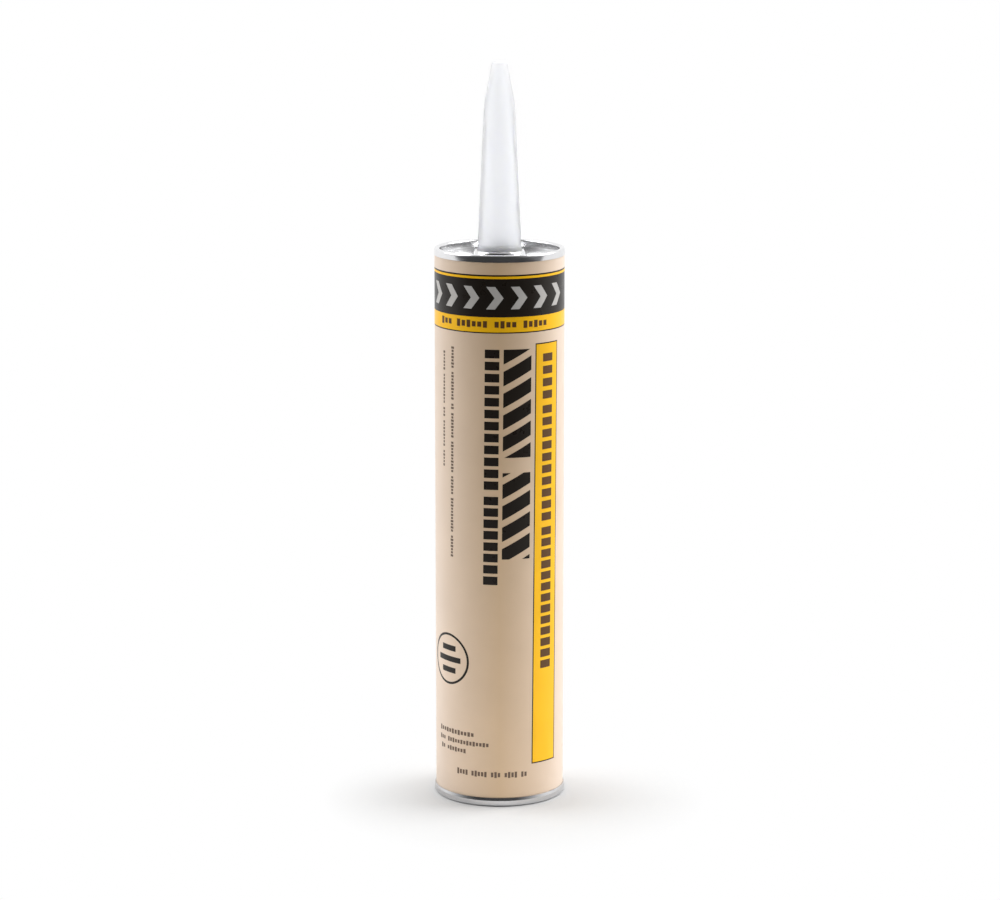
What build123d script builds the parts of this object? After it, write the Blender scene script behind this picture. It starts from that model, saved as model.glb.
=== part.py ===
from build123d import *
import os
from math import asin, cos, degrees, floor, radians, sin, tan

# A construction adhesive cartridge: a paperboard tube in a printed paper label, with a seamed metal end
# and a moulded nozzle in front, and a plunger that slides up the bore from behind the adhesive.
# Millimetres, +Z along the cartridge towards the nozzle's tip. The origin is the middle of the rear
# ring's foot, where the cartridge stands. The print faces -Y, and an azimuth turns from -Y towards +X.

# Tube and label
body_length = 215.9
label_radius = 25.0
label_paper = 0.15
lap_width = 6.0
tube_wall = 1.55

# Tinplate, for the front end and the rear ring
sheet = 0.28
seam_clearance = 0.02
curl_chamfer = 0.4

# Front end
skirt_height = 2.7
panel_depth = 2.8
countersink_depth = 0.4
countersink_width = 1.6
boss_height = 1.7
boss_land = 1.0
boss_draft = 0.8

# Nozzle
nozzle_height = 71.7
nozzle_base_radius = 8.4
nozzle_shoulder_radius = 5.83
nozzle_nose_length = 15.7
nozzle_tip_radius = 2.8
nozzle_tip_chamfer = 0.4
nozzle_wall = 1.2
nozzle_cap = 2.5
nozzle_clearance = 0.05
collar_height = 2.4
collar_step = 0.2
collar_seat = 0.5
flange_radius = 13.0
flange_thickness = 1.5

# Foil seal and adhesive
foil_thickness = 0.08
foil_margin = 1.0
adhesive_clearance = 0.1
pocket_clearance = 0.2

# Plunger
plunger_recess = 25.32
plunger_length = 13.0
plunger_clearance = 0.08
plunger_web = 1.6
plunger_skirt = 1.4
lip_height = 1.6
lip_reach = 0.6
lip_taper = 1.2
rib_height = 4.0
rib_thickness = 1.2
rib_count = 8
hub_radius = 7.0
stop_clearance = 0.3

# Rear ring
ring_height = 3.4
ring_inner_height = 5.5
ring_bead = 0.3
ring_shoulder_height = 2.3
label_foot = 1.0

# Print: each ink is a thin raised field on the paper, and a later ink lies on an earlier one
ink = 0.08
print_lean = 0.5
band_margin = 4.7
hairline = 0.5
gold_line_height = 1.4
band_height = 14.1
yellow_band_height = 5.6
foot_line_height = 0.7

chevron_count = 7
chevron_first_azimuth = -68.0
chevron_last_azimuth = 60.0
chevron_height = 8.6
chevron_stroke = 3.4
chevron_reach = 3.2

panel_azimuth = 45.7
panel_width = 12.2
panel_foot = 16.25
panel_gap = 4.45
outline_width = 0.45

text_gap = 6.2
headline_azimuth = 15.6
headline_width = 11.0
headline_upper = 41.8
headline_lower = 33.8
headline_space = 5.9
stripe_pitch = 8.4
stripe_width = 5.6
stripe_rise = 6.0

subhead_azimuth = -7.3
subhead_width = 5.6
subhead_upper = 54.2
subhead_lower = 34.6
subhead_space = 2.7
subhead_pitch = 4.45
subhead_block = 3.3

panel_text_azimuth = 46.4
panel_text_width = 5.3
panel_text_margin = 4.25
panel_text_upper = 17.5
panel_text_middle = 45.0
panel_text_lower = 55.8
panel_text_space = 2.6
panel_text_pitch = 4.2
panel_text_block = 3.1

emblem_azimuth = -52.3
emblem_middle = 57.0
emblem_radius = 10.2
emblem_line = 0.9
emblem_bar_height = 2.2
emblem_bar_pitch = 4.4
emblem_bar_length = 13.0
emblem_bar_shares = (0.62, 1, 0.62)

# One overrun for every cut that goes right through
overrun = 1.0

# Radii that follow from the tube
tube_radius = label_radius - label_paper
bore_radius = tube_radius - tube_wall
half_sheet = sheet / 2

# Heights and radii that follow from the front end
skirt_foot = body_length - skirt_height
skirt_radius = tube_radius + seam_clearance + half_sheet
wall_radius = bore_radius - half_sheet
panel_face = body_length - panel_depth
panel_underside = panel_face - sheet
countersink_face = panel_face - countersink_depth
boss_face = panel_face + boss_height
hole_radius = nozzle_base_radius + nozzle_clearance
boss_radius = hole_radius + boss_land
nozzle_tip = boss_face + nozzle_height
nozzle_shoulder = nozzle_tip - nozzle_nose_length
collar_radius = hole_radius + collar_seat
flange_underside = panel_underside - flange_thickness
foil_underside = flange_underside - foil_thickness

# The adhesive fills the bore from the countersink back to the plunger
adhesive_front = countersink_face - sheet - adhesive_clearance
plunger_rear = plunger_recess
plunger_face = plunger_rear + plunger_length
plunger_radius = bore_radius - plunger_clearance
plunger_skirt_radius = plunger_radius - lip_reach
plunger_bore = plunger_skirt_radius - plunger_skirt
plunger_travel = foil_underside - stop_clearance - plunger_face
lap_half_angle = degrees(lap_width / 2 / label_radius)

# The print is set out downwards from the front end's skirt
print_top = skirt_foot - band_margin
band_top = print_top - hairline - gold_line_height
band_foot = band_top - band_height
print_foot = band_foot - yellow_band_height - foot_line_height
panel_top = print_foot - panel_gap
panel_height = panel_top - panel_foot
panel_middle = (panel_top + panel_foot) / 2
text_top = print_foot - text_gap


def spun(section):
    """A solid of revolution from the edges of its section, drawn as radius and height."""
    return revolve(make_face(Plane.XZ * section), axis=Axis.Z)


def spun_sheet(path, bends):
    """Tinplate spun about the axis from the middle line of its section, with some outer bends eased."""
    middle = Plane.XZ * path
    one, other = [
        offset(middle, amount=half_sheet, kind=Kind.INTERSECTION, side=side, closed=False).wires()[0]
        for side in (Side.LEFT, Side.RIGHT)
    ]
    ends = [Edge.make_line(one @ 0, other @ 1), Edge.make_line(one @ 1, other @ 0)]
    section = make_face(one.edges() + other.edges() + ends)
    for radius, height in bends:
        bend = section.vertices().sort_by_distance((radius, 0, height))[0]
        section = chamfer(bend, curl_chamfer)
    return revolve(section, axis=Axis.Z)


def sleeve(inner, outer, foot, top, start=0, sweep=360):
    """A wall between two radii, from one azimuth and over a sweep of the turn."""
    middle = ((inner + outer) / 2, (foot + top) / 2)
    section = Plane.XZ * Pos(*middle) * Rectangle(outer - inner, top - foot)
    return Rot(0, 0, start - 90) * revolve(section, axis=Axis.Z, revolution_arc=sweep)


def make_tube_body():
    """The wound paperboard tube, from the rear ring's web to the inside of the front curl."""
    return sleeve(bore_radius, tube_radius, sheet, body_length - sheet)


def make_label():
    """The paper label, wound once round the tube and lapped at the back."""
    paper = sleeve(tube_radius, label_radius, label_foot, skirt_foot)
    lap = sleeve(
        label_radius, label_radius + label_paper, ring_height + seam_clearance, skirt_foot - seam_clearance,
        180 - lap_half_angle, 2 * lap_half_angle,
    )
    return paper + lap


def make_front_end():
    """The tinplate end: a curl over the tube's edge, a countersunk panel and a boss round the nozzle."""
    panel_line = panel_face - half_sheet
    curl_line = body_length - half_sheet
    boss_line = boss_face - half_sheet
    path = Polyline(
        (skirt_radius, skirt_foot),
        (skirt_radius, curl_line),
        (wall_radius, curl_line),
        (wall_radius, panel_line - countersink_depth),
        (wall_radius - countersink_width, panel_line),
        (boss_radius + boss_draft, panel_line),
        (boss_radius, boss_line),
        (hole_radius, boss_line),
    )
    bends = [(skirt_radius + half_sheet, body_length), (wall_radius - half_sheet, body_length)]
    return spun_sheet(path, bends)


def make_nozzle():
    """The moulded nozzle: a closed hollow cone on a collar in the boss and a flange under the panel."""
    cone = spun(Polyline(
        (0, boss_face),
        (nozzle_base_radius, boss_face),
        (nozzle_shoulder_radius, nozzle_shoulder),
        (nozzle_tip_radius, nozzle_tip - nozzle_tip_chamfer),
        (nozzle_tip_radius - nozzle_tip_chamfer, nozzle_tip),
        (0, nozzle_tip),
        close=True,
    ))
    foot_ring = Pos(0, 0, boss_face) * Cone(
        nozzle_base_radius + collar_step, nozzle_base_radius, collar_height,
        align=(Align.CENTER, Align.CENTER, Align.MIN),
    )
    neck = sleeve(0, nozzle_base_radius, flange_underside, boss_face)
    collar = sleeve(0, collar_radius, flange_underside, boss_face - sheet)
    flange = sleeve(0, flange_radius, flange_underside, panel_underside)
    solid = cone + foot_ring + neck + collar + flange

    hollow_top = nozzle_tip - nozzle_cap
    throat_radius = nozzle_base_radius - nozzle_wall
    hollow = spun(Polyline(
        (0, flange_underside - overrun),
        (throat_radius, flange_underside - overrun),
        (throat_radius, boss_face),
        (nozzle_shoulder_radius - nozzle_wall, nozzle_shoulder),
        (nozzle_tip_radius - nozzle_wall, hollow_top),
        (0, hollow_top),
        close=True,
    ))
    return solid - hollow


def make_foil_seal():
    """The foil across the nozzle's throat, bonded under the flange, which the user pierces."""
    return sleeve(0, flange_radius - foil_margin, foil_underside, flange_underside)


def make_adhesive():
    """The adhesive that fills the bore, with a pocket where the nozzle's flange stands in it."""
    column = sleeve(0, bore_radius, plunger_face, adhesive_front)
    pocket = sleeve(0, flange_radius + pocket_clearance, foil_underside, adhesive_front + overrun)
    return column - pocket


def make_plunger():
    """The moulded plunger: a cup with two wiping lips, ribbed behind its face for the push plate."""
    web_back = plunger_face - plunger_web
    cup = spun(Polyline(
        (0, plunger_face),
        (plunger_radius, plunger_face),
        (plunger_radius, plunger_face - lip_height),
        (plunger_skirt_radius, plunger_face - lip_height - lip_taper),
        (plunger_skirt_radius, plunger_rear + lip_height + lip_taper),
        (plunger_radius, plunger_rear + lip_height),
        (plunger_radius, plunger_rear),
        (plunger_bore, plunger_rear),
        (plunger_bore, web_back),
        (0, web_back),
        close=True,
    ))
    rib_middle = (hub_radius + plunger_bore) / 2
    rib_length = plunger_bore - hub_radius + plunger_skirt
    rib = Box(rib_length, rib_thickness, rib_height, align=(Align.CENTER, Align.CENTER, Align.MAX))
    ribs = PolarLocations(rib_middle, rib_count) * rib
    hub = sleeve(hub_radius - rib_thickness, hub_radius, web_back - rib_height, web_back)
    return cup + hub + [Pos(0, 0, web_back) * each for each in ribs]


def make_rear_ring():
    """The tinplate ring rolled over the tube's rear edge, with a bead outside and a plain leg inside."""
    leg_radius = label_radius + seam_clearance + half_sheet
    path = Polyline(
        (leg_radius, ring_height),
        (leg_radius + ring_bead, ring_shoulder_height),
        (leg_radius + ring_bead, half_sheet),
        (wall_radius, half_sheet),
        (wall_radius, ring_inner_height),
    )
    return spun_sheet(path, [(leg_radius + ring_bead + half_sheet, 0)])


def printed_band(foot, height, layer):
    """A field of ink right round the label, which steps up where the paper laps."""
    around = label_radius + layer * ink
    over_lap = around + label_paper
    return [
        sleeve(around, around + ink, foot, foot + height, lap_half_angle - 180, 360 - 2 * lap_half_angle),
        sleeve(over_lap, over_lap + ink, foot, foot + height, 180 - lap_half_angle, 2 * lap_half_angle),
    ]


def printed(outline, azimuth, middle, layer):
    """A flat outline, leaned with the label, laid on the curved paper as a thin field of ink."""
    inner = label_radius + layer * ink
    box = outline.bounding_box()
    span = max(box.max.Y, -box.min.Y) + overrun
    paper = sleeve(inner, inner + ink, middle - span, middle + span)
    outward = Vector(sin(radians(azimuth)), -cos(radians(azimuth)), 0)
    along = Vector(cos(radians(azimuth)), sin(radians(azimuth)), 0)
    facing = Plane(origin=(0, 0, middle), x_dir=along, z_dir=outward)
    stamp = extrude(facing * Rot(0, 0, -print_lean) * outline, amount=label_radius + overrun)
    return (paper & stamp).solids()


def leaned_azimuth(azimuth, from_height, to_height):
    """Where a field of a leaning row stands when it is placed at another height of that row."""
    shift = (to_height - from_height) * tan(radians(print_lean))
    return azimuth + degrees(shift / label_radius)


def row_stretches(top, lengths, space):
    """The foot and length of each stretch of a row that reads down the tube."""
    stretches = []
    for length in lengths:
        stretches.append((top - length, length))
        top -= length + space
    return stretches


def printed_blocks(azimuth, width, top, lengths, space, pitch, block, layer):
    """Rows of plain blocks down the tube, as many as each stretch holds."""
    inner = label_radius + layer * ink
    turn = 2 * degrees(asin(width / 2 / inner))
    centre = top - sum(lengths) / 2
    fields = []
    for foot, length in row_stretches(top, lengths, space):
        count = 1 + floor((length - block) / pitch)
        step = (length - block) / max(count - 1, 1)
        for index in range(count):
            block_foot = foot + index * step
            start = leaned_azimuth(azimuth, centre, block_foot + block / 2) - turn / 2
            fields.append(sleeve(inner, inner + ink, block_foot, block_foot + block, start, turn))
    return fields


def headline_stripes():
    """Slanting warning stripes, in two stretches down the front of the label."""
    lengths = (headline_upper, headline_lower)
    centre = text_top - sum(lengths) / 2
    half_width = headline_width / 2
    low = (stripe_width + stripe_rise) / 2
    high = (stripe_width - stripe_rise) / 2
    corners = [(-half_width, -low), (half_width, -high), (half_width, low), (-half_width, high)]
    stripe = Polygon(corners, align=None)
    fields = []
    for foot, length in row_stretches(text_top, lengths, headline_space):
        frame = Rectangle(headline_width, length)
        middle = foot + length / 2
        azimuth = leaned_azimuth(headline_azimuth, centre, middle)
        for location in GridLocations(0, stripe_pitch, 1, floor(length / stripe_pitch) + 2):
            cut = frame & (location * stripe)
            if cut and cut.area > 0:
                fields += printed(cut, azimuth, middle, 0)
    return fields


def emblem():
    """A round badge of three plain bars."""
    ring = Circle(emblem_radius) - Circle(emblem_radius - emblem_line)
    fields = printed(ring, emblem_azimuth, emblem_middle, 0)
    places = GridLocations(0, emblem_bar_pitch, 1, len(emblem_bar_shares))
    for place, share in zip(places, emblem_bar_shares):
        bar = place * Rectangle(emblem_bar_length * share, emblem_bar_height)
        fields += printed(bar, emblem_azimuth, emblem_middle, 0)
    return fields


def make_yellow_print():
    """The yellow ink: a line and a band on the dark one, and the long side panel."""
    panel = Rectangle(panel_width - 2 * outline_width, panel_height - 2 * outline_width)
    return (
        printed_band(band_top, gold_line_height, 1)
        + printed_band(band_foot - yellow_band_height, yellow_band_height, 1)
        + printed(panel, panel_azimuth, panel_middle, 1)
    )


def make_black_print():
    """The dark ink: the band, with its rules past the yellow, the stripes, blocks, panel rule and badge."""
    return (
        printed_band(print_foot, print_top - print_foot, 0)
        + printed(Rectangle(panel_width, panel_height), panel_azimuth, panel_middle, 0)
        + headline_stripes()
        + printed_blocks(
            subhead_azimuth, subhead_width, text_top, (subhead_upper, subhead_lower), subhead_space,
            subhead_pitch, subhead_block, 0,
        )
        + emblem()
    )


def make_brown_print():
    """The brown ink: rows of blocks on the yellow panel."""
    return printed_blocks(
        panel_text_azimuth, panel_text_width, panel_top - panel_text_margin,
        (panel_text_upper, panel_text_middle, panel_text_lower), panel_text_space,
        panel_text_pitch, panel_text_block, 2,
    )


def make_grey_print():
    """The light grey ink: a row of chevrons along the dark band."""
    half_height = chevron_height / 2
    back = -(chevron_reach + chevron_stroke) / 2
    outline = Polygon(
        (back, -half_height),
        (back + chevron_stroke, -half_height),
        (-back, 0),
        (back + chevron_stroke, half_height),
        (back, half_height),
        (back + chevron_reach, 0),
        align=None,
    )
    middle = (band_top + band_foot) / 2
    step = (chevron_last_azimuth - chevron_first_azimuth) / max(chevron_count - 1, 1)
    fields = []
    for index in range(chevron_count):
        fields += printed(outline, chevron_first_azimuth + index * step, middle, 1)
    return fields


def node(shapes):
    """One node's solids, as a single solid or as a group that lies together."""
    solids = shapes if isinstance(shapes, list) else shapes.solids()
    return solids[0] if len(solids) == 1 else Compound(children=list(solids))


nodes = {
    "tube_body": make_tube_body(),
    "label": make_label(),
    "front_end": make_front_end(),
    "nozzle": make_nozzle(),
    "foil_seal": make_foil_seal(),
    "adhesive": make_adhesive(),
    "plunger": make_plunger(),
    "rear_ring": make_rear_ring(),
    "yellow_print": make_yellow_print(),
    "black_print": make_black_print(),
    "brown_print": make_brown_print(),
    "grey_print": make_grey_print(),
}

os.makedirs("parts", exist_ok=True)
for name, shapes in nodes.items():
    export_step(node(shapes), f"parts/{name}.step")

print(f"plunger travel {plunger_travel:.3f} mm, adhesive from {plunger_face:.3f} to {adhesive_front:.3f} mm")
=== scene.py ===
from math import asin, ceil, copysign, cos, floor, pi, radians, sin, tan, tau

import bmesh
import bpy
from bpy.props import FloatProperty, FloatVectorProperty, PointerProperty
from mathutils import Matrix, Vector


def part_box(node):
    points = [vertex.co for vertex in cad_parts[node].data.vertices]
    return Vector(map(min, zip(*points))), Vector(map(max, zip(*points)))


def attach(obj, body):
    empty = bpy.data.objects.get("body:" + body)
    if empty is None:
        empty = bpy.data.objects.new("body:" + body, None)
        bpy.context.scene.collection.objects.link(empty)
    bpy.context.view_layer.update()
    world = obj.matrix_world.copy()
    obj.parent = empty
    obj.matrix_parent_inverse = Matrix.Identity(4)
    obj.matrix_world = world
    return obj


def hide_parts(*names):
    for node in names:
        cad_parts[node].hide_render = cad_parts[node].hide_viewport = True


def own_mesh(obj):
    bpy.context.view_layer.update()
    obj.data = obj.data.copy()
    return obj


bl_info = {
    "name": "Adhesive Cartridge",
    "version": (1, 0, 0),
    "blender": (4, 5, 0),
    "location": "View3D > Sidebar > Cartridge",
    "description": "Builds an adhesive cartridge's label, print, metal ends, nozzle and plunger",
    "category": "Object",
}

# The packed model is the frame: metres, +Z up the cartridge to the nozzle's tip, and the print faces -Y.
# An azimuth turns from -Y towards +X, as on the label.
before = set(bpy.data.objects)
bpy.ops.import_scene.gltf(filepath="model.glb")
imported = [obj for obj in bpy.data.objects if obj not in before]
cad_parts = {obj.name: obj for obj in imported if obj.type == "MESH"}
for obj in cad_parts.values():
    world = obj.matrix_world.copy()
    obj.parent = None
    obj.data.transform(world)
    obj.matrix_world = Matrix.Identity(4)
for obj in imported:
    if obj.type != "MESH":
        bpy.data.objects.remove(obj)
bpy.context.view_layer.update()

MM = 0.001
CARTRIDGE = "cartridge"
PLUNGER = "plunger"

# Columns round every spun piece, and steps in every bend
COLUMNS = 256
COLUMN_ANGLE = tau / COLUMNS
BEND_STEPS = 8

# Points as near as this are one, and an edge as steep as this is sharp
WELD = 1e-7
SHARP_ANGLE = radians(35)


def reach(node):
    """A node's outside radius and its lowest and highest heights."""
    low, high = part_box(node)
    return high.x, low.z, high.z


LABEL_RADIUS, LABEL_FOOT, LABEL_TOP = reach("label")
TUBE_RADIUS, TUBE_FOOT, TUBE_TOP = reach("tube_body")
END_RADIUS, _, BODY_TOP = reach("front_end")
FLANGE_RADIUS, FLANGE_FOOT, NOZZLE_TIP = reach("nozzle")
RING_RADIUS, RING_FOOT, RING_LEG_TOP = reach("rear_ring")
PLUNGER_RADIUS, PLUNGER_REAR, PLUNGER_FACE = reach("plunger")
BORE_RADIUS, PASTE_FOOT, PASTE_TOP = reach("adhesive")
_, FOIL_FOOT, _ = reach("foil_seal")

# The boss's room round the nozzle, and the plunger's ribs
BOSS_FIT = 0.05 * MM
RIBS = 8

# The label's overlap: its azimuth, the width of its cut edge, and its gap to the metal at each end
BACK = pi
CUT_EDGE = 20 * WELD
LAP_GAP = 0.02 * MM

# The layers that a film of ink may lie on
ON_PAPER, ON_BLACK, ON_YELLOW = range(3)

# The bands, set out downwards from the top of the print
LEAN = radians(0.5)
PRINT_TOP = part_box("black_print")[1].z
HAIRLINE = 0.6 * MM
GOLD_LINE = 0.9 * MM
BAND_HEIGHT = 14.6 * MM
YELLOW_BAND = 5.75 * MM
FOOT_LINE = 0.45 * MM
BAND_TOP = PRINT_TOP - HAIRLINE - GOLD_LINE
BAND_FOOT = BAND_TOP - BAND_HEIGHT
YELLOW_FOOT = BAND_FOOT - YELLOW_BAND
PRINT_FOOT = YELLOW_FOOT - FOOT_LINE

# The grey chevrons on the dark band
CHEVRONS = 7
CHEVRON_FIRST, CHEVRON_LAST = radians(-68.0), radians(60.0)
CHEVRON_HEIGHT = 8.6 * MM
CHEVRON_STROKE = 3.4 * MM
CHEVRON_REACH = 3.2 * MM

# The yellow panel with its dark rule
PANEL_AZIMUTH = radians(45.7)
PANEL_WIDTH = 12.2 * MM
PANEL_FOOT = 16.25 * MM
PANEL_TOP = PRINT_FOOT - 4.45 * MM
PANEL_RULE = 0.45 * MM

# The slanting warning stripes, in two stretches
FIELDS_TOP = PRINT_FOOT - 6.2 * MM
WARNING_AZIMUTH = radians(15.6)
WARNING_WIDTH = 11.0 * MM
WARNING_LENGTHS = (41.8 * MM, 33.8 * MM)
WARNING_SPACE = 5.9 * MM
STRIPE_PITCH = 8.4 * MM
STRIPE_WIDTH = 5.6 * MM
STRIPE_RISE = 6.0 * MM

# The round badge of three bars
BADGE_AZIMUTH = radians(-52.3)
BADGE_MIDDLE = 57.0 * MM
BADGE_RADIUS = 10.2 * MM
BADGE_LINE = 0.9 * MM
BADGE_BAR_HEIGHT = 2.2 * MM
BADGE_BAR_PITCH = 4.4 * MM
BADGE_BAR_LENGTHS = (8.06 * MM, 13.0 * MM, 8.06 * MM)
BADGE_SIDES = 64

# Columns of plain blocks: azimuth, width, top, stretches, space between them, the blocks' pitch and height
FRONT_BLOCKS = (radians(-7.3), 5.6 * MM, FIELDS_TOP, (54.2 * MM, 34.6 * MM), 2.7 * MM, 4.45 * MM, 3.3 * MM)
PANEL_BLOCKS = (
    radians(46.4), 5.3 * MM, PANEL_TOP - 4.25 * MM, (17.5 * MM, 45.0 * MM, 55.8 * MM),
    2.6 * MM, 4.2 * MM, 3.1 * MM,
)

# Rows of small plain marks: middle azimuth, middle height, length, mark height, and the marks in each group
BAND_ROW = (radians(-7.6), YELLOW_FOOT + YELLOW_BAND * 0.52, 46.9 * MM, 2.8 * MM, (3, 6, 4, 5))
ROWS_DOWN = (
    (radians(-46.4), 139.0 * MM, 82.5 * MM, 1.5 * MM, (7, 9, 2, 8, 10, 6, 11, 7)),
    (radians(-57.9), 155.4 * MM, 45.3 * MM, 1.2 * MM, (6, 9, 3, 8, 5)),
)
ROWS_ACROSS = (
    (radians(-44.9), 28.2 * MM, 18.9 * MM, 2.0 * MM, (12,)),
    (radians(-38.0), 24.6 * MM, 25.0 * MM, 1.9 * MM, (3, 14)),
    (radians(-47.9), 21.2 * MM, 14.4 * MM, 1.9 * MM, (2, 7)),
    (radians(-8.1), 12.7 * MM, 29.2 * MM, 2.4 * MM, (4, 5, 3, 4, 2)),
)
MARK_FILL_SHARE = 0.7
MARK_HEIGHT_SHARES = (1.0, 0.72, 0.72, 0.9, 0.72, 1.0, 0.8)

# The lamps and the camera
LAMP_AZIMUTH = radians(104)
LAMP_DISTANCE = 0.9
LAMP_RISE = radians(48)
LAMP_SIZE = 0.5
CAMERA_PLACE = (0.00019, -1.2495, 0.3854)
CAMERA_TILT = radians(78.73)
CAMERA_LENS = 118.1
CAMERA_SENSOR = 36.0

# The floor: its side; where along Y its paint turns to painted shade, near-black in front for what mirrors it
# and for the light it bounces, and darker behind for the light it bounces; and where its glow grows round the
# shadow's middle
FLOOR_SIDE = 12.0
FLOOR_FRONT = (-0.42, -0.20)
FLOOR_REAR = (0.04, 0.20)
FRONT_PAINTED_SHADE, MIDDLE_PAINT, REAR_PAINTED_SHADE = 0.05, 0.92, 0.35
SHADOW_MIDDLE = (0.006, -0.012, 0.0)
NEAR_GLOW = (0.023, 0.075)
FAR_GLOW = (0.10, 0.30)

# The room: the way along which its light grows, and where its wall and its ceiling do so
ROOM_WAY = (0.16, 1.0, -0.4)
WALL_GROWTH = (-0.95, 0.25)
CEILING_GROWTH = (0.3, 1.0)


def length(name, description, millimetres):
    """A size that a user may change, given in millimetres and kept in metres."""
    return FloatProperty(
        name=name, description=description, default=millimetres * MM, min=0.0, unit="LENGTH", precision=5
    )


def colour(name, description, *rgb):
    """A linear colour."""
    return FloatVectorProperty(
        name=name, description=description, default=rgb, size=3, min=0.0, max=1.0, subtype="COLOR"
    )


def share(name, description, part):
    """A plain number from nothing to one."""
    return FloatProperty(name=name, description=description, default=part, min=0.0, max=1.0, subtype="FACTOR")


def power(name, description, watts):
    """A lamp's power."""
    return FloatProperty(name=name, description=description, default=watts, min=0.0, unit="POWER")


class CartridgePaper(bpy.types.PropertyGroup):
    """The label and the wound tube under it."""

    label_colour: colour("Label colour", "Printed ground of the label, at its front", 0.67, 0.485, 0.31)
    side_colour: colour("Side colour", "Paler ground that the front fades into", 0.76, 0.62, 0.505)
    side_azimuth: FloatProperty(
        name="Side azimuth", description="Where it has faded fully", default=radians(65.0), subtype="ANGLE"
    )
    board_colour: colour("Board colour", "Bare wound paperboard", 0.36, 0.25, 0.155)
    lap_width: length("Lap width", "Width of the label's overlap at the back", 6.0)
    lap_paper: length("Lap paper", "Thickness of the label where it overlaps", 0.15)
    lap_slope: length("Lap slope", "Width over which the overlap rises on its glued side", 1.4)
    ply_pitch: length("Ply pitch", "Height between turns of the tube's wound plies", 74.0)


class CartridgeInks(bpy.types.PropertyGroup):
    """The printing inks."""

    film: length("Ink film", "Thickness of one ink on the label", 0.02)
    yellow: colour("Yellow ink", "Lines, band and side panel", 0.97, 0.525, 0.006)
    black: colour("Black ink", "Dark band, stripes, blocks and badge", 0.014, 0.010, 0.007)
    brown: colour("Brown ink", "Blocks on the yellow panel", 0.105, 0.048, 0.014)
    grey: colour("Grey ink", "Chevrons on the dark band", 0.50, 0.485, 0.465)
    small: colour("Small print ink", "Fine rows on the bare ground", 0.155, 0.105, 0.075)


class CartridgeTinplate(bpy.types.PropertyGroup):
    """The pressed front end and the rolled rear ring."""

    colour: colour("Tinplate colour", "Bright tinned steel", 0.80, 0.80, 0.81)
    # The rear ring's tinplate is the front end's, darkened: painted shade for the shadowed floor that the
    # ring mirrors
    ring_painted_shade: share("Ring shade", "Brightness of the rear ring beside the front end", 0.85)
    sheet: length("Sheet", "Thickness of the tinplate", 0.28)
    curl: length("Curl", "Outside radius of the rolled edges", 0.85)
    skirt_height: length("Skirt height", "Height of the front end's outside skirt", 2.7)
    panel_depth: length("Panel depth", "Depth of the end panel under the rim", 2.8)
    countersink_depth: length("Countersink depth", "Depth of the groove round the end panel", 0.4)
    countersink_width: length("Countersink width", "Width of the groove's inner slope", 1.6)
    boss_height: length("Boss height", "Height of the boss round the nozzle", 1.7)
    boss_land: length("Boss land", "Width of the boss's flat top", 1.0)
    boss_draft: length("Boss draft", "Slope of the boss's side", 0.8)
    ring_height: length("Ring height", "Height of the rear ring's outside leg", 3.4)
    bead: length("Bead", "How far the bead stands out from the leg", 0.3)
    bead_height: length("Bead height", "Height of the bead's shoulder", 2.3)


class CartridgeNozzle(bpy.types.PropertyGroup):
    """The moulded nozzle."""

    colour: colour("Nozzle colour", "Natural polyethylene", 0.965, 0.97, 0.988)
    base_radius: length("Base radius", "Radius of the cone at the boss", 8.4)
    shoulder_radius: length("Shoulder radius", "Radius where the nose begins", 5.83)
    nose_length: length("Nose length", "Height of the steeper nose", 15.7)
    shoulder_blend: length("Shoulder blend", "How far from the shoulder its rounding starts", 4.42)
    tip_radius: length("Tip radius", "Radius of the closed tip", 2.8)
    tip_round: length("Tip round", "Rounding of the tip's edge", 0.5)
    wall: length("Wall", "Thickness of the nozzle's wall", 1.2)
    cap: length("Cap", "Thickness of the closed tip", 2.5)
    collar_height: length("Collar height", "Height of the foot ring above the boss", 2.4)
    collar_step: length("Collar step", "How far the foot ring stands out", 0.2)
    collar_seat: length("Collar seat", "How far the collar reaches under the boss", 0.5)
    flange_thickness: length("Flange thickness", "Thickness of the flange under the panel", 1.5)
    parting_line: length("Parting line", "Height of the mould's parting line", 0.03)


class CartridgeFilling(bpy.types.PropertyGroup):
    """What stands in the bore: the foil seal, the adhesive and the plunger."""

    foil_colour: colour("Foil colour", "Aluminium foil", 0.78, 0.78, 0.79)
    paste_colour: colour("Paste colour", "Adhesive", 0.62, 0.50, 0.36)
    plunger_colour: colour("Plunger colour", "Moulded plunger", 0.80, 0.80, 0.77)
    paste_gap: length("Paste gap", "Room between the adhesive and the plunger's face", 0.05)
    pocket_gap: length("Pocket gap", "Room round the nozzle's flange", 0.2)
    web: length("Web", "Thickness of the plunger's face", 1.6)
    skirt: length("Skirt", "Thickness of the plunger's wall", 1.4)
    lip_height: length("Lip height", "Height of each wiping lip", 1.6)
    lip_reach: length("Lip reach", "How far a lip stands out from the wall", 0.6)
    lip_taper: length("Lip taper", "Height of the slope behind a lip", 1.2)
    rib_height: length("Rib height", "Height of the ribs behind the face", 4.0)
    rib_thickness: length("Rib thickness", "Thickness of the ribs and the hub", 1.2)
    hub_radius: length("Hub radius", "Outside radius of the hub", 7.0)


class CartridgeStudio(bpy.types.PropertyGroup):
    """The floor, the lamps and the light of the room."""

    left_power: power("Left lamp", "Soft lamp on the left", 4.5)
    right_power: power("Right lamp", "Soft lamp on the right", 7.0)
    floor_seen: share("Floor seen", "How white the floor looks beside the cartridge", 0.56)
    room_front: share("Room front", "Light of the dark end of the room, behind the camera", 0.06)
    room_back: share("Room back", "Light of the white end of the room, behind the cartridge", 1.0)
    room_top: share("Room top", "Light that falls from the white ceiling", 0.8)
    room_fill: share("Room fill", "Share of the room's own light that falls on things", 0.79)


# Outlines, as (radius, height) or (across, up) points in metres


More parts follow.
